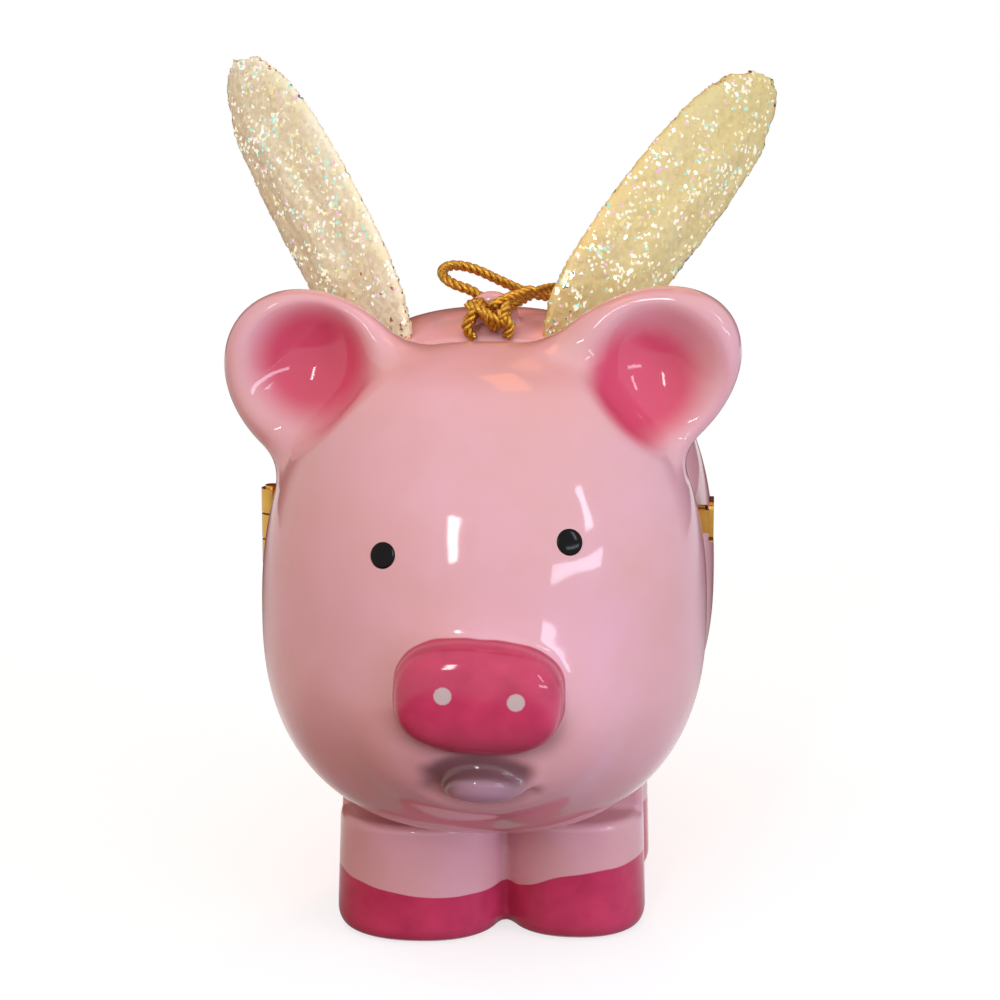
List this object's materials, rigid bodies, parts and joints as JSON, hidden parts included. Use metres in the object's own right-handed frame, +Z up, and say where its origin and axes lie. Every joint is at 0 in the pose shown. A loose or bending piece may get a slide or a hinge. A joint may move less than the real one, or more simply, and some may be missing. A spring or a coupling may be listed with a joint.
{
  "type": "winged pig trinket box ornament",
  "caption": "Winged pig ornament of glazed porcelain: a hollow trinket box whose head swings open on a brass side hinge, with glittered wings and a metallic hanging cord.",
  "frame": {"origin": "on the ground under the middle of the figure, measured without its hanging cord", "axes": "+Z up, the face looks along -Y, +X towards the viewer's right when facing the pig"},
  "size_m": [0.0582, 0.071, 0.0898],
  "materials": {
    "porcelain_glaze_pink": "glossy pink glaze over porcelain, with darker pink snout, ear bowls and hooves",
    "brass_bezel": "polished",
    "brass_hinge": "polished",
    "brass_clasp": "polished",
    "glittered_wing": "cream paint covered with coarse iridescent glitter",
    "gold_cord": "twisted metallic thread"
  },
  "bodies": {
    "body": {"body_shell": "porcelain_glaze_pink", "body_bezel": "brass_bezel", "hinge_body_leaf_upper": "brass_hinge", "hinge_body_leaf_lower": "brass_hinge", "hinge_pin": "brass_hinge", "clasp_catch": "brass_clasp", "left_wing": "glittered_wing", "right_wing": "glittered_wing", "hanging_cord": "gold_cord", "cord_knot": "gold_cord"},
    "head": {"head_shell": "porcelain_glaze_pink", "head_bezel": "brass_bezel", "hinge_head_leaf": "brass_hinge", "clasp_latch": "brass_clasp"}
  },
  "joints": [
    {"name": "head_hinge", "type": "hinge", "parent": "body", "child": "head", "pos_m": [-0.02241, -0.00328, 0.04305], "axis": [0, 0, -1], "range_deg": [0, 105]}
  ]
}
